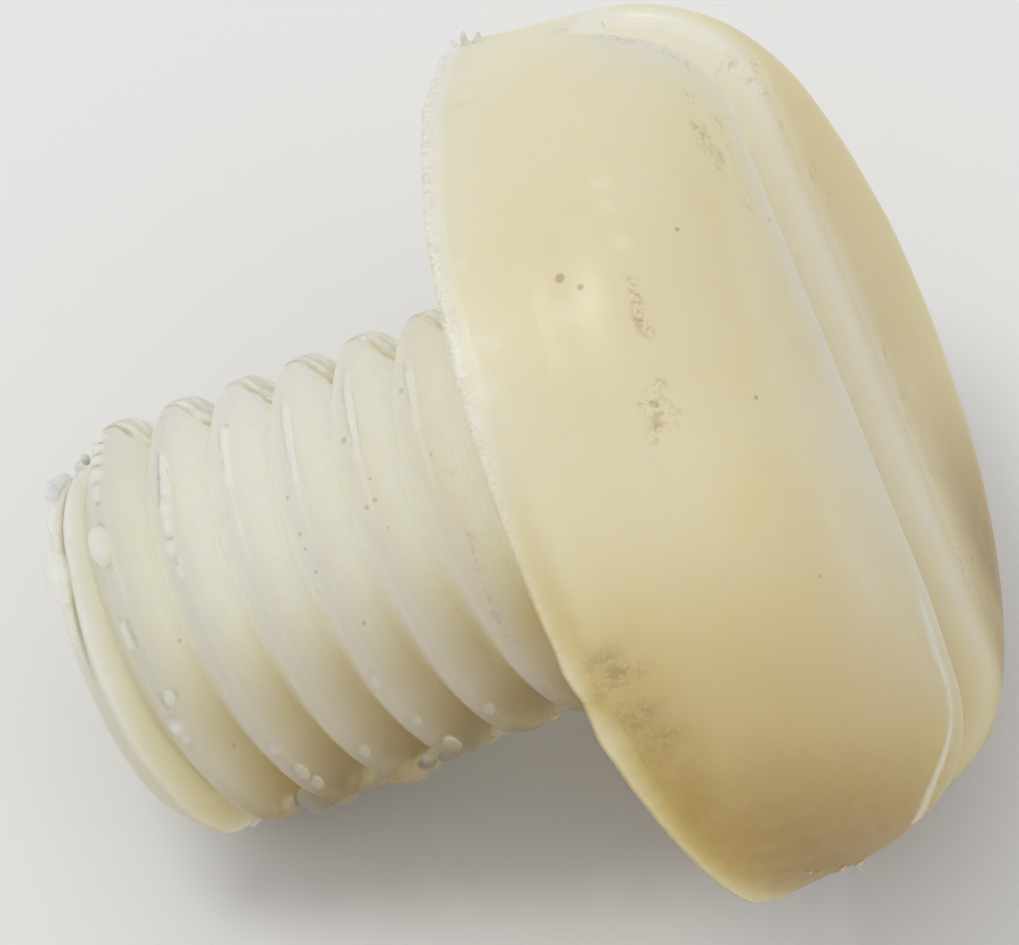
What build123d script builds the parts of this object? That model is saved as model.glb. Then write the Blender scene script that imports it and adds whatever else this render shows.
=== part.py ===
from build123d import *
import os
from math import atan2, cos, degrees, pi, radians, sin, tan

# Slotted pan-head screw moulded in natural nylon, M8 x 1.25 x 10, lying on its side.
# All lengths in millimetres. The screw is drawn upright with its bearing face at
# Z = 0, the head above it and the shank below, and is then laid down on the flash of
# its bearing rim and its last full crest. The upright +X side becomes the uppermost.

# ---- head ----
head_rim_r = 8.30        # bearing rim, the widest part of the head
head_rim_edge_r = 0.15   # broken edge where the side meets the bearing face
head_side_h = 1.95       # height of the drafted side
head_side_r = 8.10       # side radius where the shoulder starts
head_flat_r = 5.70       # radius of the flat on top
head_h = 4.83            # head height

# ---- flash along the bearing rim, in stretches ----
flash_r = 8.45           # how far it stands out from the axis
flash_lip = 0.05         # thickness of its outer edge
flash_h = 0.40           # height at which it runs out into the side
flash_gap = 8.0          # degrees each side of the lowest point to the two it rests on
flash_runs = (           # degrees from the uppermost side: start, length
    (-44, 17),
    (-24, 35),
    (62, 16),
    (102, 10),
    (180 - flash_gap - 14, 14),
    (180 + flash_gap, 14),
)

# ---- driver slot, full width of the head ----
slot_w = 2.4
slot_depth = 2.2
slot_floor_r = 0.35      # moulded radius at the foot of each wall
slot_lip_r = 0.35        # rolled-over edge between each wall and the head
slot_turn = 42.3         # degrees from the uppermost side to the slot's width

# ---- neck under the head ----
neck_r = 3.95
neck_len = 1.0
neck_fillet_r = 0.25

# ---- thread, right-hand ----
thread_r = 3.93          # over the crests
thread_pitch = 1.25
root_r = 3.25
root_flat = 0.06         # width of the root land between two ridges
flank_half_angle = 30.0
thread_phase = 0.02      # height of a crest on the uppermost side, modulo the pitch
ridge_sink = 0.10        # how far the ridge's foot is buried in the core
turns = 9                # the first turn starts beyond the tip, the last in the neck

# ---- tip ----
shank_len = 10.07
tip_r = 3.28             # radius of the flat at the tip
tip_chamfer_len = 0.65

# ---- bead of flash on the tip's edge ----
bead_turn = 6.0          # degrees from the uppermost side
bead_h = -9.93           # height of its middle
bead_r = 3.42            # distance of its middle from the axis
bead_half_len = 0.56
bead_half_wide = 0.23

# ---- how it lies ----
contact_crest_h = 9.355  # distance of the crest it rests on from the bearing face

# ------------------------------------------------------------------ ridge profile
# A 60 degree ridge with a round crest: the arc is tangent to both flanks.
half_base = (thread_pitch - root_flat) / 2
ta = tan(radians(flank_half_angle))
ca = cos(radians(flank_half_angle))
sa = sin(radians(flank_half_angle))
crest_round_r = (half_base - ta * (thread_r - root_r)) / (ca - ta * (1 - sa))
crest_c = thread_r - crest_round_r             # centre of the crest arc
tangent_r = crest_c + crest_round_r * sa       # where arc and flank meet
tangent_w = crest_round_r * ca
foot_r = root_r - ridge_sink
foot_w = half_base + ta * ridge_sink

# ------------------------------------------------------------------ resting tilt
# The near ends of the two lowest stretches of flash and the crest arc reach equally low.
rest_r = flash_r * cos(radians(flash_gap))
tilt = radians(25)
for _ in range(20):
    rise = rest_r - crest_c - crest_round_r / cos(tilt)
    tilt = atan2(rise, contact_crest_h)
bearing_z = rest_r * cos(tilt)
bearing_x = 1.837        # puts the middle of the overall box over the origin
lying = Plane(
    origin=(bearing_x, 0, bearing_z),
    x_dir=(-sin(tilt), 0, cos(tilt)),
    z_dir=(cos(tilt), 0, sin(tilt)),
)

# ------------------------------------------------------------------ thread ridge
with BuildPart() as ridge:
    with BuildLine() as path:
        Helix(
            pitch=thread_pitch,
            height=turns * thread_pitch,
            radius=thread_r,
            center=(0, 0, thread_phase - turns * thread_pitch),
        )
    start = path.line @ 0
    with BuildSketch(
        Plane(origin=start, x_dir=(start.X, start.Y, 0), z_dir=path.line % 0)
    ):
        with BuildLine():
            crest = ThreePointArc(
                (tangent_r - thread_r, -tangent_w),
                (0, 0),
                (tangent_r - thread_r, tangent_w),
            )
            Polyline(
                crest @ 1,
                (foot_r - thread_r, foot_w),
                (foot_r - thread_r, -foot_w),
                crest @ 0,
            )
        make_face()
    sweep(path=path.line, is_frenet=True)
    # the flat tip and its lead chamfer cut the first turn down
    with BuildSketch(Plane.XZ):
        with BuildLine():
            Polyline(
                (0, 3),
                (9, 3),
                (9, -shank_len + tip_chamfer_len * (9 - tip_r) / (thread_r - tip_r)),
                (tip_r, -shank_len),
                (0, -shank_len),
                close=True,
            )
        make_face()
    revolve(axis=Axis.Z, mode=Mode.INTERSECT)

# ------------------------------------------------------------------ upright screw
with BuildPart() as upright:
    # head, neck and thread core turned as one half-section
    with BuildSketch(Plane.XZ):
        with BuildLine():
            shoulder = EllipticalCenterArc(
                (head_flat_r, head_side_h),
                head_side_r - head_flat_r,
                head_h - head_side_h,
                0,
                arc_size=90,
            )
            Line((0, head_h), shoulder @ 1)
            side = Line(shoulder @ 0, (head_rim_r, head_rim_edge_r))
            edge = ThreePointArc(
                side @ 1,
                (
                    head_rim_r - head_rim_edge_r * (1 - cos(pi / 4)),
                    head_rim_edge_r * (1 - sin(pi / 4)),
                ),
                (head_rim_r - head_rim_edge_r, 0),
            )
            bearing = Line(edge @ 1, (neck_r + neck_fillet_r, 0))
            under = ThreePointArc(
                bearing @ 1,
                (
                    neck_r + neck_fillet_r * (1 - cos(pi / 4)),
                    -neck_fillet_r * (1 - sin(pi / 4)),
                ),
                (neck_r, -neck_fillet_r),
            )
            Polyline(
                under @ 1,
                (neck_r, -neck_len),
                (root_r, -neck_len),
                (root_r, -shank_len),
                (0, -shank_len),
                (0, head_h),
            )
        make_face()
    revolve(axis=Axis.Z)

    # driver slot, open at both ends
    across = Vector(cos(radians(slot_turn)), sin(radians(slot_turn)), 0)
    with BuildSketch(
        Plane(origin=(0, 0, head_h), x_dir=across, z_dir=across.cross(Vector(0, 0, 1)))
    ) as slot_section:
        Rectangle(slot_w, 2 * slot_depth)
        fillet(slot_section.vertices().group_by(Axis.Z)[0], slot_floor_r)
    extrude(amount=12, both=True, mode=Mode.SUBTRACT)
    # the rolled edge runs along both lips, over the shoulder and down to the floor
    fillet(upright.edges().filter_by(GeomType.LINE).group_by(Axis.Z)[-1], slot_lip_r)

    # broken flash along the bearing rim
    for start_turn, run in flash_runs:
        radial = Vector(cos(radians(start_turn)), sin(radians(start_turn)), 0)
        with BuildSketch(
            Plane(origin=(0, 0, 0), x_dir=radial, z_dir=radial.cross(Vector(0, 0, 1)))
        ):
            with BuildLine():
                Polyline(
                    (head_side_r - 0.3, 0),
                    (flash_r, 0),
                    (flash_r, flash_lip),
                    (
                        head_rim_r - (head_rim_r - head_side_r) * flash_h / head_side_h,
                        flash_h,
                    ),
                    (head_side_r - 0.3, flash_h),
                    close=True,
                )
            make_face()
        revolve(axis=Axis.Z, revolution_arc=run)

    add(ridge.part)

    # a long drop of flash lies along the tip's upper edge
    out = Vector(cos(radians(bead_turn)), sin(radians(bead_turn)), 0)
    along = Vector(-sin(radians(bead_turn)), cos(radians(bead_turn)), 0)
    with BuildSketch(
        Plane(origin=out * bead_r + Vector(0, 0, bead_h), x_dir=along, z_dir=out)
    ) as bead_section:
        Ellipse(bead_half_len, bead_half_wide)
        split(bisect_by=Plane.XZ)
    revolve(axis=Axis(out * bead_r + Vector(0, 0, bead_h), along))

# ------------------------------------------------------------------ laid down
with BuildPart(lying) as screw:
    add(upright.part)

screw.part.label = "screw"
os.makedirs("parts", exist_ok=True)
export_step(screw.part, "parts/screw.step")

box = screw.part.bounding_box()
print("tilt", degrees(tilt), "bearing z", bearing_z, "crest radius", crest_round_r)
print("box", box.min, box.max, "volume", screw.part.volume)
print("solids", len(screw.part.solids()), "valid", screw.part.is_valid)
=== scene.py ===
import math

import bpy
import numpy as np
from mathutils import Matrix, Vector


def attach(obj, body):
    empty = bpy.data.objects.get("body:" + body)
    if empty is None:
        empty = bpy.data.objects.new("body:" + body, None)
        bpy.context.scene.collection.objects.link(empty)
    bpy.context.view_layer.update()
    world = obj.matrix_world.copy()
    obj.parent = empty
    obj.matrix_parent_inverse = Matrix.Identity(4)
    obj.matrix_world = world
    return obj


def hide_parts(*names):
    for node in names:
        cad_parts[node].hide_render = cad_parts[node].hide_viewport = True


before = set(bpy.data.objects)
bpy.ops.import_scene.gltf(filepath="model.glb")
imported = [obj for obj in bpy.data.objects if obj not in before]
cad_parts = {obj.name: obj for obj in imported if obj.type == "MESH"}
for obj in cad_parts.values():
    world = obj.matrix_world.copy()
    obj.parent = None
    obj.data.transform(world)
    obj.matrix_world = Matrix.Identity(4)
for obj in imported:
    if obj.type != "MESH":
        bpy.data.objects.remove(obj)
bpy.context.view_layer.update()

# ---------------------------------------------------------------- sizes, millimetres
# The screw's own frame: z along its axis with the bearing face at 0 and the head above,
# x on the side that lies uppermost, c across the driver slot, l along it.
TILT = math.radians(25.19388996334837)
BEAR = np.array([1.837, 0.0, 7.571760201439861])
AXIS = np.array([math.cos(TILT), 0.0, math.sin(TILT)])
UPPER = np.array([-math.sin(TILT), 0.0, math.cos(TILT)])
SIDE = np.array([0.0, -1.0, 0.0])
BASIS = np.array([UPPER, SIDE, AXIS])

RIM_R, RIM_E, SIDE_H, SIDE_R, FLAT_R, HEAD_H = 8.30, 0.15, 1.95, 8.10, 5.70, 4.83
SLOT_W, SLOT_D, FLOOR_R, LIP_R = 2.4, 2.2, 0.35, 0.35
SLOT_TURN = math.radians(42.3)
NECK_R, NECK_L, NECK_F = 3.95, 1.0, 0.25
PITCH, SHANK_L, TIP_R, TIP_C = 1.25, 10.07, 3.28, 0.65
CREST_R = 3.93
CT, ST = math.cos(SLOT_TURN), math.sin(SLOT_TURN)

CELL = 0.052       # sampling cell of the surface
MAX_TRIS = 196000


def outer(a, b, r):
    """Both at once, with the outer edge between them rounded to r."""
    u = np.maximum(a + r, 0)
    v = np.maximum(b + r, 0)
    return np.minimum(-r, np.maximum(a, b)) + np.sqrt(u * u + v * v)


def inner(a, b, r):
    """Either, with the inner corner between them filled to r."""
    u = np.maximum(r - a, 0)
    v = np.maximum(r - b, 0)
    return np.maximum(r, np.minimum(a, b)) - np.sqrt(u * u + v * v)


def blend(a, b, k):
    h = np.maximum(k - np.abs(a - b), 0) / k
    return np.minimum(a, b) - h * h * k * 0.25


def step(a, b, x):
    t = np.clip((x - a) / (b - a), 0, 1)
    return t * t * (3 - 2 * t)


def waves(x, y, z, scale, seed, count=5):
    """A smooth uneven value between about -1 and 1."""
    rng = np.random.default_rng(seed)
    out = 0
    for _ in range(count):
        k = rng.normal(size=3)
        k *= rng.uniform(0.6, 1.6) / scale / np.linalg.norm(k) * 2 * math.pi
        out = out + np.sin(k[0] * x + k[1] * y + k[2] * z + rng.uniform(0, 2 * math.pi))
    return out / math.sqrt(count * 1.6)


# ---------------------------------------------------------------- thread section
def section(flat, ease, root_flat, crest, root):
    """Signed distance to a ridge's section over one pitch, as a table of radius and phase."""
    P = PITCH
    c, w = flat / 2, root_flat / 2
    ph = np.linspace(-P, P, 601)
    xs = [-P - c, -P + c, -P / 2 - w, -P / 2 + w, -c, c, P / 2 - w, P / 2 + w, P - c, P + c]
    ys = [crest, crest, root, root, crest, crest, root, root, crest, crest]
    rr = np.interp(ph, xs, ys)
    k = int(round(ease / (ph[1] - ph[0])))
    ker = np.hanning(k + 2)[1:-1]
    ker /= ker.sum()
    rr = np.convolve(np.concatenate([rr[-k - 1:-1], rr, rr[1:k + 1]]), ker, "same")[k:-k]
    rr += crest - rr.max()
    rg = np.linspace(2.4, 5.4, 151)
    pg = np.linspace(-P / 2, P / 2, 126)
    ax, ay, bx, by = ph[:-1], rr[:-1], ph[1:], rr[1:]
    ex, ey = bx - ax, by - ay
    ll = ex * ex + ey * ey
    d = np.empty((len(rg), len(pg)))
    for j, p in enumerate(pg):
        dx = p - ax[None]
        dy = rg[:, None] - ay[None]
        t = np.clip((dx * ex + dy * ey) / ll, 0, 1)
        m = np.sqrt(((dx - t * ex) ** 2 + (dy - t * ey) ** 2).min(1))
        d[:, j] = np.where(rg < np.interp(p, ph, rr), -m, m)
    return d, rg, pg


# The mould's two halves met a little out of line along the slot's own plane, so each
# half of the thread has its own section and its own place along the axis.
NEAR_T = section(0.34, 0.36, 0.02, 3.93, 3.20)
FAR_T = section(0.42, 0.34, 0.02, 3.97, 3.34)
NEAR_PH, FAR_PH = 0.02, 0.085


def ridge(table, r, phase):
    d, rg, pg = table
    i = np.clip((r - rg[0]) / (rg[1] - rg[0]), 0, len(rg) - 1.001)
    j = np.clip((phase - pg[0]) / (pg[1] - pg[0]), 0, len(pg) - 1.001)
    i0, j0 = i.astype(np.int32), j.astype(np.int32)
    fi, fj = i - i0, j - j0
    v = (d[i0, j0] * (1 - fi) + d[i0 + 1, j0] * fi) * (1 - fj)
    v += (d[i0, j0 + 1] * (1 - fi) + d[i0 + 1, j0 + 1] * fi) * fj
    return v + np.maximum(r - rg[-1], 0) - np.maximum(rg[0] - r, 0)


# How far the rim's flash stands out beyond the rim, by degrees from the uppermost side.
RIM_AZ = [-186, -173, -172.4, -171.6, -165, -159, -156, -120, -100, -72, -66, -60, -55, -50, -47,
          -44, -40, -35, -30, -25, -20, -15, -10, -5, 0, 8, 20, 32, 44, 52, 55, 57, 60, 62, 65, 70,
          75, 80, 85, 92, 98, 105, 110, 115, 122, 150, 158, 162, 166, 171.6, 172.4, 173, 186]
RIM_OUT = [0, 0, 0.10, 0.15, 0.13, 0.14, 0, 0.02, 0, 0.04, 0, 0, 0.03, 0.01, 0.0,
           0.10, 0.14, 0.12, 0.13, 0.20, 0.16, 0.14, 0.13, 0.16, 0.12, 0.08, 0.06, 0.05, 0.06, 0.10,
           0.22, 0.13, -0.03, 0.08, 0.22, 0.11, 0.07, 0.03, 0, 0, 0.03, 0.08, 0.10, 0.03, 0.02, 0,
           0.03, 0.12, 0.14, 0.15, 0.10, 0, 0]


def body(x, y, z):
    """Head, slot, neck and shank."""
    r = np.sqrt(x * x + y * y)
    az = np.arctan2(y, x)
    c = x * CT + y * ST
    l = y * CT - x * ST
    f = np.full(x.shape, 9.0)

    # head: drafted side, elliptical shoulder, flat top; moulding leaves it a little uneven
    m = z > -0.8
    if m.any():
        X, Y, Z, R, AZ, C, L = x[m], y[m], z[m], r[m], az[m], c[m], l[m]
        uneven = 0.018 * waves(X, Y, Z, 7.0, 11) + 0.007 * waves(X, Y, Z, 2.4, 12)
        lip = np.interp(np.degrees(AZ), RIM_AZ, RIM_OUT)
        lip = lip + 0.012 * waves(X, Y, Z * 0, 0.8, 13) * (X > -6)
        Rr = R - lip * step(0.50, 0.06, Z) - uneven * step(0.1, 0.8, Z)
        draft = math.atan2(8.27 - SIDE_R, SIDE_H)
        d_side = (Rr - RIM_R) * math.cos(draft) + Z * math.sin(draft)
        qx = (Rr - FLAT_R) / (SIDE_R - FLAT_R)
        qz = (Z - SIDE_H - uneven) / (HEAD_H - SIDE_H)
        k = np.sqrt(qx * qx + qz * qz)
        g = np.sqrt((qx / (SIDE_R - FLAT_R)) ** 2 + (qz / (HEAD_H - SIDE_H)) ** 2)
        d_ell = (k - 1) * k / np.maximum(g, 1e-3)
        top = Z - HEAD_H - uneven
        t = step(SIDE_H - 0.3, SIDE_H + 0.3, Z)
        d_side = np.where(Rr > FLAT_R, d_side, top)
        d_up = np.where(Rr < FLAT_R, top, d_ell)
        d = d_side * (1 - t) + d_up * t
        head = outer(d, -Z, RIM_E)
        # the near wall's lip is worn rounder towards the lower end of the slot
        end = step(3.6, 6.2, L) * step(0.0, 0.4, C)
        slot = outer(np.abs(C) - SLOT_W / 2 - 0.02 * waves(X, Y, Z, 5.0, 14),
                     HEAD_H - SLOT_D - Z, FLOOR_R)
        lip_r = LIP_R + 0.55 * end
        head = outer(head, -slot, lip_r)
        f[m] = head

    # shank: threaded core with a lead chamfer and a flat tip, and a short plain neck
    m = (z < 1.0) & (r < 5.2)
    if m.any():
        X, Y, Z, R, AZ, C = x[m], y[m], z[m], r[m], az[m], c[m]
        wob = 0.010 * waves(X, Y, Z, 3.0, 15)
        swell = 1 + 0.008 * step(-4.0, -9.5, Z)
        turn = PITCH * AZ / (2 * math.pi)
        pn = Z - NEAR_PH - turn
        pn = pn - PITCH * np.round(pn / PITCH)
        pf = Z - FAR_PH - turn
        pf = pf - PITCH * np.round(pf / PITCH)
        # halves meet with a small step
        w = step(0.05, -0.05, C + 0.02 * waves(X, Y, Z, 1.5, 16))
        tn = ridge(NEAR_T, (R - wob) / swell, pn)
        tf = ridge(FAR_T, (R - wob) / swell, pf)
        th = tn * (1 - w) + tf * w
        nose = step(0.9, 0.2, AZ) * step(-1.9, -1.4, AZ)
        lead = (TIP_R + 0.10 + 0.85 * step(-9.80, -9.34, Z)) * nose
        lead += (TIP_R + (Z + SHANK_L) * (CREST_R - TIP_R) / TIP_C) * (1 - nose)
        cham = (R - lead) / 1.41
        th = outer(th, cham - 0.02 * waves(X, Y, Z, 1.6, 17), 0.12)
        th = outer(th, -Z - SHANK_L - 0.02 * waves(X, Y, Z, 2.2, 18), 0.11)
        th = np.maximum(th, Z - 0.6)
        neck = np.maximum(R - NECK_R, np.maximum(-Z - NECK_L, Z - 0.6))
        shank = inner(th, neck, 0.06)
        f[m] = inner(f[m], shank, NECK_F)
    return f


# ---------------------------------------------------------------- beads, burrs and flash
def polar(az, r, z):
    a = math.radians(az)
    return np.array([r * math.cos(a), r * math.sin(a), z])


FEATURES = []       # (centre, reach, kind, data, blend)


def drop(az, r, z, half_len, half_wide, half_high, turn=0.0, k=0.10):
    """A rounded bead of flash, long way round the shank, leaning by turn degrees."""
    p = polar(az, r, z)
    a = math.radians(az)
    out = np.array([math.cos(a), math.sin(a), 0])
    rnd = np.array([-math.sin(a), math.cos(a), 0])
    up = np.array([0, 0, 1.0])
    t = math.radians(turn)
    e0 = rnd * math.cos(t) + up * math.sin(t)
    e1 = -rnd * math.sin(t) + up * math.cos(t)
    FEATURES.append((p, max(half_len, half_wide, half_high) + 0.35, "drop",
                     (np.array([e0, e1, out]), np.array([half_len, half_wide, half_high])), k))


def spur(p, q, r0, r1, k=0.05):
    """A tapered sliver from p to q."""
    p, q = np.asarray(p, float), np.asarray(q, float)
    FEATURES.append(((p + q) / 2, np.linalg.norm(q - p) / 2 + max(r0, r1) + 0.25, "spur",
                     (p, q, r0, r1), k))


# tip: one long bead on its upper edge, a chipped nub and two dark crumbs near the parting line
drop(6, 3.46, -9.93, 0.52, 0.24, 0.24, 0, 0.12)
drop(-37, 3.46, -10.06, 0.24, 0.17, 0.14, 12, 0.05)
drop(-30, 3.46, -10.04, 0.20, 0.13, 0.12, -10, 0.06)
drop(-42, 3.42, -10.00, 0.16, 0.15, 0.13, 30, 0.05)
drop(-20, 3.42, -10.02, 0.45, 0.07, 0.07, 0, 0.10)
drop(-48, 3.47, -9.70, 0.13, 0.14, 0.14, 0, 0.04)
drop(-46, 3.60, -9.52, 0.10, 0.09, 0.12, 0, 0.04)
# first crest: a string of small beads and one elongated bead
drop(5, 3.98, -8.82, 0.38, 0.19, 0.20, 3, 0.13)
for az, z, a, b, h in ((-38, -8.93, 0.15, 0.15, 0.13), (-31.5, -8.88, 0.13, 0.12, 0.10),
                       (-25.5, -8.84, 0.12, 0.09, 0.08), (-19, -8.80, 0.18, 0.08, 0.08),
                       (-12, -8.78, 0.16, 0.05, 0.05), (31, -8.74, 0.20, 0.04, 0.04),
                       (50, -8.43, 0.11, 0.07, 0.05), (58.5, -8.56, 0.14, 0.10, 0.10),
                       (62, -8.50, 0.10, 0.07, 0.08)):
    drop(az, 3.95, z, a, b, h, 3, 0.11)
# second crest: a narrow raised string that widens into a drop
for az, z, a, b, h in ((-42, -7.64, 0.16, 0.10, 0.06), (-15, -7.42, 0.20, 0.030, 0.06),
                       (-9, -7.40, 0.28, 0.04, 0.07), (-3, -7.40, 0.28, 0.07, 0.09),
                       (2, -7.42, 0.24, 0.10, 0.11), (6, -7.43, 0.20, 0.10, 0.10),
                       (13, -7.46, 0.13, 0.11, 0.10), (20, -7.40, 0.10, 0.05, 0.04)):
    drop(az, 3.94, z, a, b, h, 3, 0.10)
# thin raised strings on the later crests
for az, z in ((-14, -6.17), (-7, -6.13), (-16, -4.93), (-8, -4.88), (0, -4.85), (-18, -3.69),
              (-10, -3.64), (-2, -3.60), (-14, -2.42), (-7, -2.38)):
    drop(az, 3.93, z, 0.34, 0.030, 0.035, 4, 0.08)
# lower side: small flattened beads near the parting line
drop(76, 3.94, -7.14, 0.13, 0.08, 0.08, 0, 0.09)
drop(66, 3.94, -4.76, 0.12, 0.06, 0.06, 0, 0.09)
drop(84, 3.94, -4.57, 0.12, 0.08, 0.08, 0, 0.09)
drop(89, 3.94, -5.80, 0.17, 0.09, 0.08, 0, 0.09)
drop(88, 3.96, -7.03, 0.26, 0.08, 0.09, 0, 0.09)
drop(96, 3.96, -6.98, 0.20, 0.10, 0.09, 0, 0.09)
drop(90, 3.94, -3.30, 0.14, 0.09, 0.07, 0, 0.09)
drop(102, 3.94, -4.42, 0.32, 0.14, 0.09, 0, 0.09)
# parting line under the shank: broken flash that bridges the grooves
drop(113, 3.80, -7.42, 0.42, 0.40, 0.28, 20, 0.14)
drop(120, 3.84, -7.60, 0.34, 0.28, 0.25, 0, 0.14)
drop(127, 3.86, -7.30, 0.30, 0.30, 0.22, 0, 0.14)
drop(110, 3.80, -8.06, 0.14, 0.11, 0.12, 0, 0.12)
drop(113, 3.78, -7.93, 0.13, 0.12, 0.10, 0, 0.12)
drop(118, 3.66, -6.95, 0.36, 0.30, 0.22, 0, 0.14)
drop(124, 3.76, -6.72, 0.30, 0.26, 0.20, 0, 0.14)
drop(128, 3.82, -6.52, 0.26, 0.20, 0.18, 0, 0.12)
drop(115, 3.86, -5.86, 0.38, 0.26, 0.22, -15, 0.14)
drop(121, 3.90, -5.70, 0.32, 0.30, 0.22, 0, 0.14)
drop(128, 3.86, -5.45, 0.26, 0.30, 0.18, 0, 0.12)
drop(117, 3.84, -5.30, 0.26, 0.16, 0.14, 0, 0.14)
drop(124, 3.80, -4.98, 0.24, 0.24, 0.16, 0, 0.14)
drop(131, 3.74, -4.10, 0.14, 0.30, 0.16, 0, 0.05)
drop(132, 3.72, -8.50, 0.12, 0.26, 0.14, 0, 0.05)
drop(132, 3.72, -2.85, 0.10, 0.30, 0.14, 0, 0.05)
# head rim: a broken knob and spikes where the parting line crosses it, a few small beads
spur(polar(-47.5, 8.18, 0.26), polar(-48.4, 8.42, 0.22), 0.13, 0.05)
spur(polar(-48.4, 8.42, 0.22), polar(-48.9, 8.58, 0.30), 0.05, 0.018)
spur(polar(-49.3, 8.18, 0.40), polar(-50.0, 8.44, 0.46), 0.10, 0.022)
spur(polar(-46.4, 8.22, 0.16), polar(-46.2, 8.46, 0.08), 0.10, 0.035)
for az, k in ((-7, 1.0), (-2.5, 0.7), (2.5, 1.1), (6.0, 0.8), (8.5, 1.2)):
    drop(az, 8.33, 0.14, 0.06 * k, 0.05 * k, 0.06 * k, 0, 0.04)
# head side, lower end of the slot: torn slivers along the parting line
for az, z, out_r, dz in ((109, 1.30, 0.10, 0.02), (112, 1.42, 0.06, -0.05), (116, 1.62, 0.14, 0.05),
                         (118, 1.48, 0.08, -0.06), (121, 1.72, 0.17, 0.04), (124, 1.62, 0.07, 0.08)):
    spur(polar(az, 8.10, z), polar(az + 0.8, 8.16 + out_r, z + dz), 0.09, 0.022)
spur(polar(105, 8.13, 1.0), polar(112, 8.13, 1.35), 0.035, 0.05)
spur(polar(112, 8.13, 1.35), polar(124, 8.12, 1.62), 0.05, 0.05)
spur(polar(124, 8.12, 1.62), polar(131, 8.10, 1.70), 0.05, 0.03)
# fin of flash along the near wall's end, wider towards the bottom
FIN = [(-0.98, 4.30, 4.80, 0.03), (-1.23, 4.85, 4.81, 0.045), (-1.62, 5.60, 4.76, 0.045),
       (-2.00, 6.20, 4.58, 0.05), (-2.22, 6.70, 4.28, 0.07), (-2.50, 6.98, 3.90, 0.09),
       (-2.95, 7.05, 3.55, 0.10), (-3.30, 7.02, 3.25, 0.07)]
for a, b in zip(FIN, FIN[1:]):
    spur(a[:3], b[:3], a[3], b[3], 0.03)


def feature(kind, data, P):
    if kind == "drop":
        R, rad = data
        q = P @ R.T
        k0 = np.sqrt(((q / rad) ** 2).sum(1))
        k1 = np.sqrt(((q / rad ** 2) ** 2).sum(1))
        return k0 * (k0 - 1) / np.maximum(k1, 1e-6)
    p, q, r0, r1 = data
    ab = q - p
    t = np.clip((P @ ab) / (ab @ ab), 0, 1)
    return np.sqrt(((P - t[:, None] * ab) ** 2).sum(1)) - (r0 + (r1 - r0) * t)


def field(P):
    f = body(P[:, 0], P[:, 1], P[:, 2])
    for mid, reach, kind, data, k in FEATURES:
        d = np.abs(P - mid)
        m = np.flatnonzero((d[:, 0] < reach) & (d[:, 1] < reach) & (d[:, 2] < reach))
        if len(m):
            base = data[0] if kind == "spur" else mid
            f[m] = blend(f[m], feature(kind, data, P[m] - base), k)
    return f


def field_in_lots(P, lot=250000):
    return np.concatenate([field(P[i:i + lot]) for i in range(0, len(P), lot)])


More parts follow.
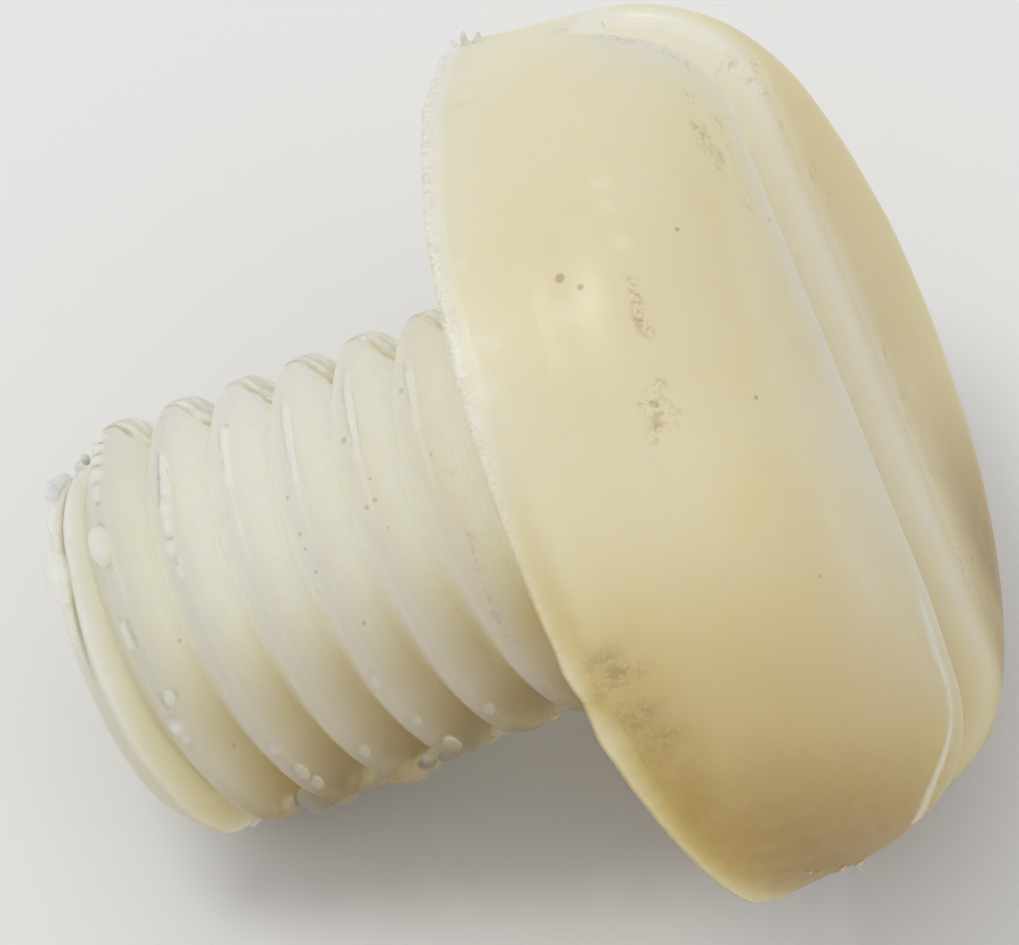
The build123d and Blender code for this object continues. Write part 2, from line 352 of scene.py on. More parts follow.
# ---------------------------------------------------------------- surface of the field
def surface(h):
    """Vertices and quads on the zero of the field, by averaging the crossings in each cell."""
    lo = np.array([-8.75, -8.75, -10.45])
    hi = np.array([8.75, 8.75, 5.05])
    n = (np.ceil((hi - lo) / (4 * h)).astype(int)) * 4
    H = 4 * h
    cn = n // 4 + 1
    g = np.stack(np.meshgrid(*[lo[i] + H * np.arange(cn[i]) for i in range(3)], indexing="ij"), -1)
    coarse = field_in_lots(g.reshape(-1, 3)).reshape(cn)
    near = np.abs(coarse) < 1.35 * H
    # a fine node is worked out where any coarse corner round it is near the surface
    F = np.full(tuple(n + 1), 1.0, np.float32)
    block = np.zeros(tuple(n // 4), bool)
    sign = np.zeros(tuple(n // 4), np.float32)
    for i in (0, 1):
        for j in (0, 1):
            for k in (0, 1):
                s = np.s_[i:i + n[0] // 4, j:j + n[1] // 4, k:k + n[2] // 4]
                block |= near[s]
                sign += coarse[s]
    big = np.where(sign < 0, -1.0, 1.0).astype(np.float32)
    F[:-1, :-1, :-1] = np.repeat(np.repeat(np.repeat(big, 4, 0), 4, 1), 4, 2)
    need = np.zeros(F.shape, bool)
    fine = np.repeat(np.repeat(np.repeat(block, 4, 0), 4, 1), 4, 2)
    need[:-1, :-1, :-1] |= fine
    need[1:, :-1, :-1] |= fine
    need[:-1, 1:, :-1] |= fine
    need[:-1, :-1, 1:] |= fine
    need[1:, 1:, 1:] |= fine
    at = np.argwhere(need)
    F[need] = field_in_lots(lo + h * at).astype(np.float32)
    inside = F < 0
    count = np.zeros(tuple(n), np.uint8)
    for i in (0, 1):
        for j in (0, 1):
            for k in (0, 1):
                count += inside[i:i + n[0], j:j + n[1], k:k + n[2]]
    active = (count > 0) & (count < 8)
    cells = np.argwhere(active)
    index = np.full(active.shape, -1, np.int64)
    index[active] = np.arange(len(cells))
    total = np.zeros((len(cells), 3))
    hits = np.zeros(len(cells))
    corners = [(0, 0, 0), (1, 0, 0), (0, 1, 0), (1, 1, 0), (0, 0, 1), (1, 0, 1), (0, 1, 1), (1, 1, 1)]
    for a in range(8):
        for b in range(a + 1, 8):
            A, B = np.array(corners[a]), np.array(corners[b])
            if np.abs(A - B).sum() != 1:
                continue
            ia, ib = cells + A, cells + B
            fa = F[ia[:, 0], ia[:, 1], ia[:, 2]]
            fb = F[ib[:, 0], ib[:, 1], ib[:, 2]]
            m = (fa < 0) != (fb < 0)
            t = fa[m] / (fa[m] - fb[m])
            total[m] += A + t[:, None] * (B - A)
            hits[m] += 1
    verts = lo + h * (cells + total / hits[:, None])
    quads = []
    for d in range(3):
        u, v = (d + 1) % 3, (d + 2) % 3
        s0 = [slice(1, -1)] * 3
        s1 = [slice(1, -1)] * 3
        s0[d], s1[d] = slice(0, -1), slice(1, None)
        a, b = inside[tuple(s0)], inside[tuple(s1)]
        e = np.argwhere(a != b)
        out = a[tuple(e.T)]
        off = np.array([1, 1, 1])
        off[d] = 0
        e = e + off
        eu = np.eye(3, dtype=int)[u]
        ev = np.eye(3, dtype=int)[v]
        q = np.stack([index[tuple((e - eu - ev).T)], index[tuple((e - ev).T)],
                      index[tuple(e.T)], index[tuple((e - eu).T)]], 1)
        q[~out] = q[~out][:, ::-1]
        quads.append(q)
    return verts, np.concatenate(quads)


def slope(P, e=0.004):
    g = np.empty_like(P)
    for i in range(3):
        d = np.zeros(3)
        d[i] = e
        g[:, i] = (field_in_lots(P + d) - field_in_lots(P - d)) / (2 * e)
    return g


def settle(P, rounds=2):
    for _ in range(rounds):
        f = field_in_lots(P)
        g = slope(P)
        gg = np.maximum((g * g).sum(1), 0.25)
        P = P - g * np.clip(f / gg, -0.06, 0.06)[:, None]
    return P


def to_world(P):
    return (BEAR + P @ BASIS) / 1000.0


def rest_on_floor(P):
    """Nothing reaches under the surface that the screw lies on."""
    W = to_world(P)
    W[:, 2] = np.maximum(W[:, 2], 0.0)
    return W


verts, quads = surface(CELL)
mesh = bpy.data.meshes.new("screw_surface")
mesh.from_pydata([], [], [])
mesh.vertices.add(len(verts))
mesh.vertices.foreach_set("co", (settle(verts, 1) / 1000.0).astype(np.float32).ravel())
mesh.loops.add(quads.size)
mesh.loops.foreach_set("vertex_index", quads.astype(np.int32).ravel())
mesh.polygons.add(len(quads))
mesh.polygons.foreach_set("loop_start", np.arange(0, quads.size, 4, dtype=np.int32))
mesh.update(calc_edges=True)
mesh.validate()
raw = bpy.data.objects.new("screw_raw", mesh)
bpy.context.scene.collection.objects.link(raw)
tris = 2 * len(quads)
if tris > MAX_TRIS:
    mod = raw.modifiers.new("reduce", "DECIMATE")
    mod.ratio = MAX_TRIS / tris
    mod.use_collapse_triangulate = True
else:
    mod = raw.modifiers.new("split", "TRIANGULATE")
bpy.context.view_layer.update()
deps = bpy.context.evaluated_depsgraph_get()
made = bpy.data.meshes.new_from_object(raw.evaluated_get(deps), depsgraph=deps)
bpy.data.objects.remove(raw)
bpy.data.meshes.remove(mesh)

co = np.empty(len(made.vertices) * 3, np.float32)
made.vertices.foreach_get("co", co)
P = settle(co.reshape(-1, 3).astype(float) * 1000.0, 1)
N = slope(P)
N /= np.maximum(np.linalg.norm(N, axis=1, keepdims=True), 1e-9)
made.vertices.foreach_set("co", rest_on_floor(P).astype(np.float32).ravel())
made.name = "nylon_screw"
made.update()
made.polygons.foreach_set("use_smooth", np.ones(len(made.polygons), bool))
made.normals_split_custom_set_from_vertices((N @ BASIS).tolist())
screw = bpy.data.objects.new("nylon_screw", made)
bpy.context.scene.collection.objects.link(screw)
print("surface", len(verts), "cells", len(made.polygons), "triangles")

# ---------------------------------------------------------------- where the skin changes, and where light and shade are painted
# Soft masks, one value for each vertex, from its place in the screw's own frame.
VX, VY, VZ = P[:, 0], P[:, 1], P[:, 2]
VR = np.hypot(VX, VY)
VA = np.degrees(np.arctan2(VY, VX))
VC = VX * CT + VY * ST
VL = VY * CT - VX * ST
VP = (VZ - NEAR_PH) / PITCH - VA / 360
VP = VP - np.round(VP)                  # 0 on a crest, towards 0.5 on the flank facing the head
SHANK = step(0.02, -0.12, VZ)
HEAD = step(-0.06, 0.0, VZ)


def spots(points, r=0.2, soft=0.8):
    out = np.zeros(len(P))
    for p in points:
        rr = p[3] if len(p) > 3 else r
        d = np.sqrt(((P - np.array(p[:3])) ** 2).sum(1))
        out = np.maximum(out, np.clip((1 - d / rr) / soft, 0, 1))
    return out


def trail(points, r, soft=0.8):
    out = np.zeros(len(P))
    for p, q in zip(points, points[1:]):
        p, q = np.array(p[:3], float), np.array(q[:3], float)
        ab = q - p
        t = np.clip(((P - p) @ ab) / (ab @ ab), 0, 1)
        d = np.sqrt(((P - p - t[:, None] * ab) ** 2).sum(1))
        out = np.maximum(out, np.clip((1 - d / r) / soft, 0, 1))
    return out


def at(places, r=4.0):
    return [tuple(polar(az, r, z)) + (k,) for az, z, k in places]


BROAD = waves(VX, VY, VZ, 9.0, 31) * 0.5

# how the surface bends: creases round beads and lumps below 0, thin edges above
bend = -6 * field_in_lots(P)
for i in range(3):
    d = np.zeros(3)
    d[i] = 0.07
    bend += field_in_lots(P + d) + field_in_lots(P - d)
bend /= 0.07 ** 2
thread_valley = step(0.24, 0.34, np.abs(VP)) * SHANK * step(3.9, 3.7, VR)
# painted shade: darker colour in the creases round beads and lumps
crease_shade = np.clip((-bend - 1.2) / 6, 0, 1) * (1 - thread_valley) * np.where(VZ > 1.5, 0.35, 1.0)
edge = np.clip((bend - 4.0) / 9, 0, 1) * np.where((VR > 7.9) & (VZ < 0.7), 0.25, 1.0)
rel_w = P @ BASIS
crease_shade = crease_shade * (1 - 0.45 * step(60, 75, VA))
crease_shade = crease_shade * (1 - 0.8 * step(-9.78, -9.62, VZ) * step(-9.05, -9.22, VZ) * step(-34, -24, VA))
# painted shade: a gradient towards the side away from the light, which darkens and yellows the colour there
low_shade = rel_w @ np.array([-0.141, -0.870, -0.4725]) + 0.13 * VZ + 0.45 * BROAD

# paler: beads, strings, slivers and small blisters; on the beads and the strings along the crests the paleness is a
# painted highlight
pale_and_highlight = 0.60 * spots(at([(4, -8.84, .34), (7, -8.82, .34), (-38, -8.93, .26), (-31.5, -8.88, .22), (-25.5, -8.84, .2),
                        (-18.5, -8.80, .22), (-3.5, -7.40, .20), (2, -7.42, .24), (6.5, -7.43, .22),
                        (12, -7.45, .22), (-9, -7.40, .16), (58.5, -8.56, .20), (50, -8.43, .16)], 4.06)
                    + [(3.46, 0.36, -9.95, .38), (3.44, 0.05, -9.97, .30), (3.40, 0.75, -9.94, .30)], soft=1.0)
pale_and_highlight = np.maximum(pale_and_highlight, 0.10 * spots(at([(76, -7.14, .18), (66, -4.76, .16), (84, -4.57, .17), (89, -5.80, .18),
                                         (88, -7.03, .24), (96, -6.98, .24)], 4.03), soft=1.0))
pale_and_highlight = np.maximum(pale_and_highlight, 0.20 * spots([
    (7.84, -.55, 3.2, .26), (7.85, -.03, 3.24, .2), (7.76, .7, 3.37, .26), (7.89, 1.81, 2.17, .36),
    (7.98, 1.91, .74, .30), (7.76, 2.73, .53, .28), (8.22, .32, .53, .22), (-3.49, -.3, 4.83, .2),
    (-3.19, -.7, 4.83, .22), (-2.47, -1.23, 4.83, .2), (-3.78, .43, 4.83, .22)], soft=1.0))
for az0, z0, run in ((-16, -7.43, 3), (-18, -6.18, 4), (-18, -4.94, 5), (-12, -3.66, 4), (-14, -2.42, 4)):
    line = [polar(az0 + k * 6, 3.97, z0 + PITCH * k * 6 / 360) for k in range(run)]
    pale_and_highlight = np.maximum(pale_and_highlight, 0.7 * trail(line, 0.13, 1.0))
pale_and_highlight = np.maximum(pale_and_highlight, 0.65 * trail(FIN, 0.18, 0.7))
lipped = step(8.12, 8.28, VR) * step(0.42, 0.20, VZ) * HEAD * step(0.05, 0.16, np.interp(VA, RIM_AZ, RIM_OUT))
pale_and_highlight = pale_and_highlight * (1 - 0.8 * lipped)
# the grooves in front let so much light through that they hardly show
front = SHANK * step(75, 25, VA) * step(-75, -55, VA)
grooves = step(0.05, 0.40, np.abs(VP)) * front * (1 - 0.8 * step(-7.6, -9.2, VZ))
pale_and_highlight = np.maximum(pale_and_highlight, (0.30 - 0.20 * step(55, 72, VA)) * edge)

# stains: dark, broken up by fine noise in the material
stain = spots([(7.06, 3.37, 3.29, .20), (7.01, 3.6, 3.16, .28), (6.9, 3.68, 3.29, .26), (6.74, 3.83, 3.44, .22),
               (6.76, 4.1, 3.08, .20), (7.03, 3.3, 3.42, .18), (6.85, 3.95, 3.20, .20)], soft=1.0)
stain = np.maximum(stain, trail([(7.60, 1.45, 3.38), (7.57, 1.65, 3.44), (7.52, 2.0, 3.38), (7.43, 2.31, 3.39),
                                 (7.34, 2.43, 3.49)], 0.15, 1.0))
stain = np.maximum(stain, 0.8 * spots([
    (5.46, -1.96, 4.83, .22), (6.07, -1.27, 4.77, .30), (6.26, -2.06, 4.63, .28), (6.19, -1.76, 4.69, .34),
    (5.48, -1.31, 4.83, .18), (5.09, -1.18, 4.83, .16), (4.77, -1.18, 4.83, .14), (5.68, -2.48, 4.77, .26),
    (6.19, -2.75, 4.53, .26), (5.85, -1.6, 4.8, .26)], soft=1.0))
stain = np.maximum(stain, 0.8 * spots([
    (2.26, -5.17, 4.83, .18), (2.23, -4.82, 4.83, .15), (2.08, -4.47, 4.82, .16), (1.97, -4.21, 4.79, .14),
    (3.01, -5.39, 4.74, .24), (2.72, -4.91, 4.72, .22), (3.26, -5.37, 4.34, .26), (2.9, -5.1, 4.6, .22)], soft=1.0))
stain = np.maximum(stain, 0.8 * trail([(.93, -4.26, 4.83), (.65, -4.13, 4.83), (.33, -3.79, 4.83),
                                       (.03, -3.82, 4.83)], 0.12, 1.0))
stain = np.maximum(stain, 0.7 * trail([(6.09, -5.27, 2.39), (6.33, -4.68, 3.18), (6.3, -4.45, 3.52),
                                       (6.14, -4.34, 3.82), (6.06, -4.15, 4.05), (5.89, -4.04, 4.25),
                                       (5.71, -3.72, 4.5)], 0.24, 1.0))
stain = np.maximum(stain, 0.8 * trail([(-1.38, -1.49, 4.83), (-1.67, -1.09, 4.83), (-2.15, -.56, 4.83),
                                       (-2.56, .11, 4.83), (-3.04, .64, 4.83), (-3.45, 1.3, 4.83),
                                       (-3.77, 1.86, 4.83), (-3.95, 2.24, 4.83)], 0.11, 1.0))
stain = np.maximum(stain, trail([polar(104, 8.16, 1.15), polar(112, 8.16, 1.40), polar(124, 8.16, 1.65),
                                 polar(131, 8.14, 1.72)], 0.22, 0.9))
stain = np.maximum(stain, 0.45 * trail([(3.47, .30, -1.99), (3.43, .95, -1.99), (3.26, 1.69, -2.02),
                                        (2.94, 2.37, -2.05), (2.51, 2.98, -2.12), (2.1, 3.31, -2.16),
                                        (1.42, 3.66, -2.13)], 0.10, 1.0))
stain = np.maximum(stain, 0.50 * step(8.08, 8.24, VR) * step(0.30, 0.14, VZ) * HEAD
                   * step(60, 44, np.abs(VA - 4)))

# smudges: soft brown, where the rim turns down and at the broken nub
smudge = 0.8 * spots([
    (4.68, 6.73, .8, .34), (4.39, 6.92, .81, .40), (4.34, 6.95, .94, .36), (3.63, 7.41, .25, .40),
    (3.64, 7.36, .65, .46), (3.65, 7.34, .85, .36), (3.04, 7.61, .89, .40), (2.58, 7.83, .33, .34),
    (4.25, 7.01, .87, .36), (3.51, 7.42, .68, .40), (4.69, 6.78, .35, .30), (4.23, 7.08, .32, .36),
    (3.04, 7.67, .23, .32), (2.99, 7.6, 1.2, .32), (2.75, 7.72, .62, .42), (2.2, 7.9, .35, .36)], soft=1.0)
smudge = np.maximum(smudge, 0.9 * spots(at([(-48, -9.70, .26), (-46, -9.52, .20)], 3.58)
                                        + [tuple(polar(-48, 8.30, 0.25)) + (.34,)], soft=1.0))
# painted shade: darker in the corner of each ridge's flank near the parting line, most towards the tip
corner = (step(-0.08, -0.26, VP) * step(0.60, -0.10, VC) * step(-2.2, -1.0, VC) * SHANK * step(0.0, 1.0, VX)
          * np.interp(VZ, [-9, -6, -3], [0.85, 0.5, 0.2]))

# broken flash under the shank carries the most dirt
under = spots(at([(114, -7.45, .62), (121, -7.60, .52), (111, -8.05, .28), (127, -7.3, .42), (117, -6.9, .40),
                  (124, -6.7, .40), (128, -6.45, .34), (122, -5.7, .30), (128, -5.45, .30)], 3.95), soft=0.9)
under = under * step(1.9, 0.7, VC)
tip_f = step(-6.2, -9.0, VZ)

# painted shade, deep ochre: on the lower flanks that face the head, and on the lowest parts of the head
ochre_shade = (step(0.02, 0.42, VP) * step(0.50, 0.47, VP) * step(35, 105, VA) * SHANK
         * np.interp(VZ, [-10, -6, -2], [0.0, 0.03, 0.14]))
rimside = step(40, 70, VA) * step(2.2, 0.2, VZ) * HEAD * step(150, 130, VA)
ochre_shade = np.maximum(ochre_shade, (0.60 + 0.30 * step(66, 84, VA)) * rimside)
ochre_shade = np.maximum(ochre_shade, 0.90 * step(4.9, 8.0, low_shade) * HEAD)
ochre_shade = np.maximum(ochre_shade, 0.42 * step(65, 125, VA) * step(-6.5, -1.5, VZ) * SHANK)
ochre_shade = np.maximum(ochre_shade, 0.78 * step(72, 112, VA) * step(165, 145, VA) * step(-10.4, -8.6, VZ) * SHANK
                   * (1 - 0.5 * step(0.1, 0.45, np.abs(VP))))
ochre_shade = np.maximum(ochre_shade, 0.95 * step(0.5, 5.0, VL) * step(-1.5, -3.4, VC) * HEAD)
ochre_shade = np.maximum(ochre_shade, 0.95 * step(3.2, 6.6, VL) * step(-1.25, -1.7, VC) * HEAD)
ochre_shade = np.maximum(ochre_shade, 0.88 * step(84, 108, VA) * step(155, 135, VA) * step(4.4, 0.8, VZ) * HEAD)
# the far side of the slot is yellower
straw = step(-1.25, -2.4, VC) * step(-0.5, 2.5, VZ) * (0.62 + 0.30 * step(2.0, 6.5, VL))
# slot walls and floor are pinker, and painted paler: painted light in the slot
slot_light = step(1.42, 1.16, np.abs(VC)) * step(2.3, 2.6, VZ)
# painted shade: greyer and darker on the upper side of the shank just beyond the parting line
beyond_shade = np.maximum(0.6 * step(0.02, -0.10, VC) * step(-2.0, -0.9, VC) * SHANK * step(-1.0, 0.5, VX), corner)

# painted shade: the rim and the outer part of the bearing face are darkened to ochre where they turn down
rim_low = HEAD * step(0.9, 0.1, VZ) * step(7.6, 8.1, VR)
face_low = step(0.12, 0.03, np.abs(VZ)) * step(4.6, 6.5, VR)
ochre_shade = np.maximum(ochre_shade, 0.90 * step(15, 55, VA) * step(165, 140, VA) * np.maximum(rim_low, face_low))

# painted shade: the uppermost side of the head and the upper part of its rim are darkened
top_shade = np.maximum(HEAD * step(5.2, 8.3, VX),
                  1.4 * HEAD * step(1.4, 0.2, VZ) * step(7.6, 8.1, VR) * step(70, 30, np.abs(VA + 20)))

for name, channels in (("skin_and_highlight_a", (pale_and_highlight, stain, smudge, under)), ("skin_and_shade_b", (ochre_shade, straw, slot_light, beyond_shade)),
                       ("skin_light_shade_c", (step(0.4, 8.2, low_shade) * (1 - 0.50 * step(-6.0, -8.4, VZ)), grooves, crease_shade, tip_f)),
                       ("painted_shade_d", (top_shade, 0 * low_shade, 0 * low_shade, 0 * low_shade))):
    layer = made.attributes.new(name, "FLOAT_COLOR", "POINT")
    layer.data.foreach_set("color", np.stack(channels, 1).clip(0, 1).astype(np.float32).ravel())

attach(screw, "root")
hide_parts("screw")

# ---------------------------------------------------------------- natural nylon, with painted light and shade in its colour
mat = bpy.data.materials.new("natural_nylon")
mat.use_nodes = True
nt = mat.node_tree
nt.nodes.clear()
NL = nt.links


def node(kind, **sets):
    n = nt.nodes.new(kind)
    for key, value in sets.items():
        setattr(n, key, value)
    return n


def put(socket, value):
    if isinstance(value, bpy.types.NodeSocket):
        NL.new(value, socket)
    else:
        socket.default_value = value


def math_node(op, a, b=None, c=None, clamp=False):
    n = node("ShaderNodeMath", operation=op, use_clamp=clamp)
    for s, v in zip(n.inputs, (a, b, c)):
        if v is not None:
            put(s, v)
    return n.outputs[0]


def vec_node(op, a, b=None, out=0):
    n = node("ShaderNodeVectorMath", operation=op)
    put(n.inputs[0], a)
    if b is not None:
        put(n.inputs[1], b)
    return n.outputs[out]


def ramp(x, a, b, lo=0.0, hi=1.0, smooth=True):
    n = node("ShaderNodeMapRange")
    n.interpolation_type = "SMOOTHSTEP" if smooth else "LINEAR"
    put(n.inputs["Value"], x)
    put(n.inputs["From Min"], a)
    put(n.inputs["From Max"], b)
    put(n.inputs["To Min"], lo)
    put(n.inputs["To Max"], hi)
    return n.outputs["Result"]


def mix(f, a, b):
    n = node("ShaderNodeMix", data_type="RGBA")
    put(n.inputs["Factor"], f)
    put(n.inputs[6], a)
    put(n.inputs[7], b)
    return n.outputs[2]


def noise(vec, scale, detail=3.0, rough=0.55, distort=0.0):
    n = node("ShaderNodeTexNoise")
    put(n.inputs["Vector"], vec)
    n.inputs["Scale"].default_value = scale
    n.inputs["Detail"].default_value = detail
    n.inputs["Roughness"].default_value = rough
    n.inputs["Distortion"].default_value = distort
    return n.outputs["Fac"]


def xyz(x, y, z):
    n = node("ShaderNodeCombineXYZ")
    for s, v in zip(n.inputs, (x, y, z)):
        put(s, v)
    return n.outputs[0]


def times(*values):
    out = values[0]
    for v in values[1:]:
        out = math_node("MULTIPLY", out, v)
    return out


def layer(name):
    n = node("ShaderNodeAttribute")
    n.attribute_name = name
    split = node("ShaderNodeSeparateColor")
    NL.new(n.outputs["Color"], split.inputs[0])
    return split.outputs[0], split.outputs[1], split.outputs[2], n.outputs["Alpha"]


coord = node("ShaderNodeTexCoord").outputs["Object"]
mm = vec_node("SCALE", coord)
mm.node.inputs["Scale"].default_value = 1000.0
rel = vec_node("SUBTRACT", mm, tuple(BEAR))
h_ax = vec_node("DOT_PRODUCT", rel, tuple(AXIS), out="Value")       # along the axis
h_x = vec_node("DOT_PRODUCT", rel, tuple(UPPER), out="Value")
h_c = vec_node("DOT_PRODUCT", rel, tuple(UPPER * CT + SIDE * ST), out="Value")
m_pale_and_highlight, m_stain, m_smudge, m_under = layer("skin_and_highlight_a")
m_ochre_shade, m_straw, m_slot_light, m_beyond_shade = layer("skin_and_shade_b")
m_low_shade, m_groove, m_crease_shade, m_tip = layer("skin_light_shade_c")
m_top_shade, _, _, _ = layer("painted_shade_d")

IVORY = (0.745, 0.655, 0.450, 1)
CREAM = (0.740, 0.675, 0.510, 1)
MILK = (0.695, 0.680, 0.585, 1)
YELLOW = (0.730, 0.625, 0.360, 1)
STRAW = (0.560, 0.445, 0.165, 1)
OCHRE_SHADE = (0.450, 0.325, 0.115, 1)
DEEP_SHADE = (0.275, 0.175, 0.040, 1)
BROWN = (0.300, 0.225, 0.110, 1)
GREY = (0.215, 0.215, 0.175, 1)
PALE_AND_HIGHLIGHT = (0.880, 0.870, 0.790, 1)

broad = noise(mm, 0.16, 1.0, 0.5, 0.0)
patch = noise(mm, 0.55, 2.0, 0.55, 0.0)
fine = noise(mm, 2.6, 2.0, 0.6, 0.0)
grain = noise(mm, 11.0, 2.0, 0.70, 0.0)
speckle = math_node("ADD", times(grain, 0.55), times(fine, 0.45))
col = mix(ramp(broad, 0.38, 0.62), CREAM, IVORY)
col = mix(times(ramp(patch, 0.45, 0.7), 0.35), col, YELLOW)
# thinner shank: paler and cooler than the head
uneven = math_node("MULTIPLY", math_node("SUBTRACT", patch, 0.5), 1.6)
col = mix(ramp(math_node("ADD", h_ax, uneven), 0.4, -6.0), col, MILK)
col = mix(times(m_tip, 0.92), col, (0.520, 0.520, 0.450, 1))
col = mix(m_straw, col, STRAW)
# slot walls and floor: pinker, and painted light
col = mix(times(m_slot_light, 0.75), col, (0.920, 0.840, 0.730, 1))
# painted shade: darker and more ochre towards its lower side, away from the light
col = mix(times(m_low_shade, 0.95), col, OCHRE_SHADE)
# painted shade: darker on the uppermost side of the head and its upper rim
col = mix(times(m_top_shade, 0.52), col, (0.580, 0.535, 0.425, 1))
col = mix(times(ramp(h_c, 0.4, -3.8), 0.35), col, YELLOW)
col = mix(times(m_groove, 0.60), col, (0.960, 0.950, 0.880, 1))
# painted shade: deep ochre on the lower flanks and the lowest parts
col = mix(m_ochre_shade, col, DEEP_SHADE)
# painted shade: greyer beyond the parting line on the upper side of the shank
col = mix(times(m_beyond_shade, ramp(fine, 0.35, 0.62, 0.34, 0.90)), col, GREY)
# the parting line over the top of the shank
seam = math_node("ABSOLUTE", math_node("ADD", h_c, math_node("MULTIPLY", math_node("SUBTRACT", fine, 0.4), 0.10)))
seam = times(ramp(seam, 0.05, 0.015), ramp(h_ax, 0.02, -0.12), ramp(h_x, 0.0, 1.0),
             ramp(patch, 0.40, 0.54), 0.60)
col = mix(seam, col, BROWN)
col = mix(times(ramp(fine, 0.35, 0.75), 0.09), col, (0.62, 0.56, 0.42, 1))
# paler beads, strings, slivers and blisters, with a painted highlight on the beads and crest strings
col = mix(m_pale_and_highlight, col, PALE_AND_HIGHLIGHT)
# painted shade in the creases round beads and lumps, strongest near the tip
col = mix(times(m_crease_shade, math_node("ADD", 0.26, times(m_tip, 0.56))), col, (0.240, 0.225, 0.165, 1))
# stains, smudges and the dirty broken flash
col = mix(times(m_smudge, ramp(speckle, 0.40, 0.58, 0.10, 0.85)), col, (0.215, 0.160, 0.080, 1))
col = mix(times(m_under, ramp(speckle, 0.34, 0.56, 0.30, 0.92)), col, (0.340, 0.215, 0.070, 1))
col = mix(times(m_stain, ramp(speckle, 0.46, 0.60), 0.62), col, (0.210, 0.160, 0.085, 1))

# single specks and short dashes of dirt
SPECKS = [(3.85, .70, -5.09, .040), (3.66, 1.41, -5.02, .035), (3.55, 1.67, -5.01, .03), (3.33, 2.08, -4.94, .03),
          (3.77, .86, -3.46, .035), (3.68, 1.27, -3.47, .045), (3.41, 1.76, -3.38, .035), (3.87, -.64, -2.61, .05),
          (3.84, -.04, -2.73, .03), (2.43, 2.86, -4.5, .045), (.84, 3.37, -7.99, .045), (3.08, 2.32, -5.08, .03),
          (3.66, -1.4, -6.15, .04), (3.79, .83, -2.23, .035), (3.68, 1.37, -3.65, .035),
          (3.93, -.02, -3.84, .065), (3.80, -.2, -5.15, .055), (2.67, 2.03, -8.01, .05),
          (8.0, 1.16, 2.24, .075), (7.92, 1.43, 2.56, .05), (7.16, .45, 4.22, .04), (5.65, 3.33, 4.64, .04),
          (3.44, 5.84, 4.53, .04), (-4.43, 1.52, 4.83, .05), (3.86, -1.37, 4.83, .04), (4.75, -6.08, 2.63, .05)]
speck = None
for x, y, z, r in SPECKS:
    w = np.array([x, y, z]) @ BASIS
    d = vec_node("DISTANCE", rel, tuple(w), out="Value")
    v = math_node("MULTIPLY_ADD", d, -1.6 / r, 2.4, clamp=True)
    speck = v if speck is None else math_node("MAXIMUM", speck, v)
col = mix(times(speck, ramp(h_ax, -1.0, 0.5, 0.34, 0.50)), col, (0.22, 0.17, 0.10, 1))

bsdf = node("ShaderNodeBsdfPrincipled")
out = node("ShaderNodeOutputMaterial")
NL.new(bsdf.outputs["BSDF"], out.inputs["Surface"])
NL.new(col, bsdf.inputs["Base Color"])
bsdf.subsurface_method = "RANDOM_WALK"
bsdf.inputs["Subsurface Weight"].default_value = 1.0
bsdf.inputs["Subsurface Radius"].default_value = (1.0, 0.84, 0.50)
bsdf.inputs["Subsurface Scale"].default_value = 0.012
bsdf.inputs["IOR"].default_value = 1.53
bsdf.inputs["Specular IOR Level"].default_value = 0.35
rough = ramp(patch, 0.3, 0.7, 0.295, 0.37)
NL.new(rough, bsdf.inputs["Roughness"])
# moulded skin: faint orange peel with finer grain over it
bump = node("ShaderNodeBump")
bump.inputs["Strength"].default_value = 0.35
bump.inputs["Distance"].default_value = 0.00003
peel = math_node("ADD", math_node("MULTIPLY", noise(mm, 2.2, 0.0, 0.5), 0.7),
                 math_node("MULTIPLY", noise(mm, 9.0, 1.0, 0.6), 0.3))
NL.new(peel, bump.inputs["Height"])
NL.new(bump.outputs["Normal"], bsdf.inputs["Normal"])
made.materials.append(mat)

# ---------------------------------------------------------------- floor
fl = bpy.data.meshes.new("floor")
fl.from_pydata([(-0.6, -0.6, 0), (0.6, -0.6, 0), (0.6, 0.6, 0), (-0.6, 0.6, 0)], [], [(0, 1, 2, 3)])
floor = bpy.data.objects.new("floor", fl)
floor.location.z = -0.00001
bpy.context.scene.collection.objects.link(floor)
fm = bpy.data.materials.new("floor_paper")
fm.use_nodes = True
fb = fm.node_tree.nodes["Principled BSDF"]
fb.inputs["Base Color"].default_value = (0.86, 0.86, 0.86, 1)
fb.inputs["Roughness"].default_value = 0.9
fb.inputs["Specular IOR Level"].default_value = 0.1
fl.materials.append(fm)

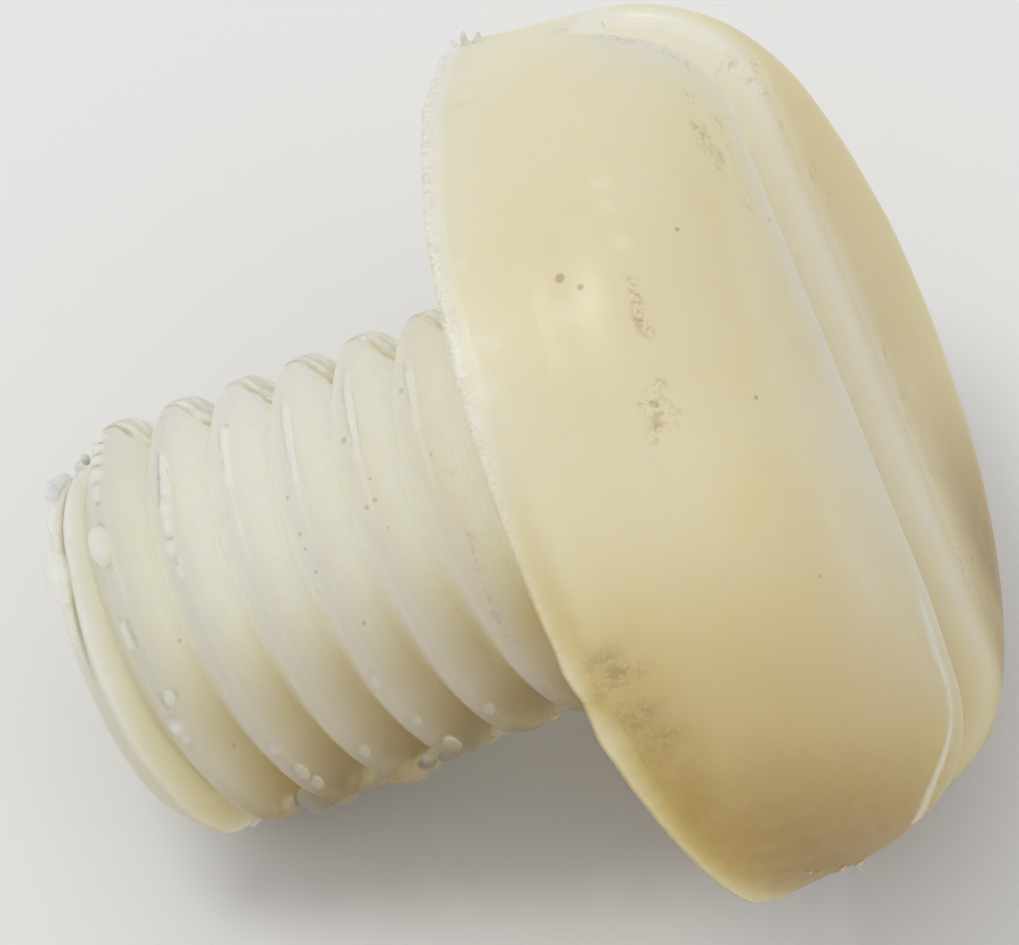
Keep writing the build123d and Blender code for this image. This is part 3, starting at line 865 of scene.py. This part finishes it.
# ---------------------------------------------------------------- camera
# Fitted to the photograph: x right, y down, z away in camera terms, in millimetres.
F_PX = 9515.253
C_CAM = np.array([2.10157, -0.06674, 173.33333])
A_CAM = np.array([0.89783305, -0.32486319, -0.29725362])
amp = math.hypot(A_CAM[1], A_CAM[2])
ph = math.atan2(-A_CAM[1], -A_CAM[2]) - math.acos(math.sin(TILT) / amp)
n = np.array([0, -math.sin(ph), -math.cos(ph)])
X = A_CAM - (A_CAM @ n) * n
X /= np.linalg.norm(X)
Y = np.cross(n, X)
RW = np.array([X, Y, n])
pos = (BEAR - RW @ C_CAM) / 1000.0
right, down, away = RW[:, 0], RW[:, 1], RW[:, 2]
M = Matrix.Identity(4)
for i in range(3):
    M[i][0], M[i][1], M[i][2], M[i][3] = right[i], -down[i], -away[i], pos[i]
cam_data = bpy.data.cameras.new("camera")
cam_data.sensor_fit = "HORIZONTAL"
cam_data.sensor_width = 36.0
cam_data.lens = F_PX * 36.0 / 1019.0
cam_data.clip_start = 0.005
cam_data.clip_end = 5.0
cam = bpy.data.objects.new("camera", cam_data)
cam.matrix_world = M
bpy.context.scene.collection.objects.link(cam)
bpy.context.scene.camera = cam

# ---------------------------------------------------------------- light
target = Vector((0.0, 0.0, 0.008))


def area(name, direction, distance, size, power, colour=(1, 1, 1)):
    d = bpy.data.lights.new(name, "AREA")
    d.shape = "DISK"
    d.size = size
    d.energy = power
    d.color = colour
    o = bpy.data.objects.new(name, d)
    o.location = target + Vector(direction).normalized() * distance
    o.rotation_euler = (target - o.location).to_track_quat("-Z", "Y").to_euler()
    bpy.context.scene.collection.objects.link(o)
    return o


area("key", (-0.34, 0.10, 0.92), 0.30, 0.09, 0.18, (1.0, 0.985, 0.95))
area("fill", (0.55, -0.55, 0.65), 0.45, 0.40, 0.10, (1.0, 0.99, 0.96))
# a soft tent that is brighter overhead and behind the screw than in front of it
world = bpy.data.worlds.new("studio")
bpy.context.scene.world = world
world.use_nodes = True
wn, wl = world.node_tree.nodes, world.node_tree.links
wn["Background"].inputs["Strength"].default_value = 0.80
wc = wn.new("ShaderNodeTexCoord")
wd = wn.new("ShaderNodeVectorMath")
wd.operation = "DOT_PRODUCT"
wd.inputs[1].default_value = Vector((-0.40, 0.25, 0.88)).normalized()
wr = wn.new("ShaderNodeMapRange")
wr.interpolation_type = "SMOOTHSTEP"
for key, value in (("From Min", -0.50), ("From Max", 0.80), ("To Min", 0.36), ("To Max", 1.0)):
    wr.inputs[key].default_value = value
wl.new(wc.outputs["Generated"], wd.inputs[0])
wl.new(wd.outputs["Value"], wr.inputs["Value"])
wl.new(wr.outputs["Result"], wn["Background"].inputs["Color"])
bpy.context.scene.view_settings.view_transform = "Standard"
bpy.context.scene.view_settings.look = "None"
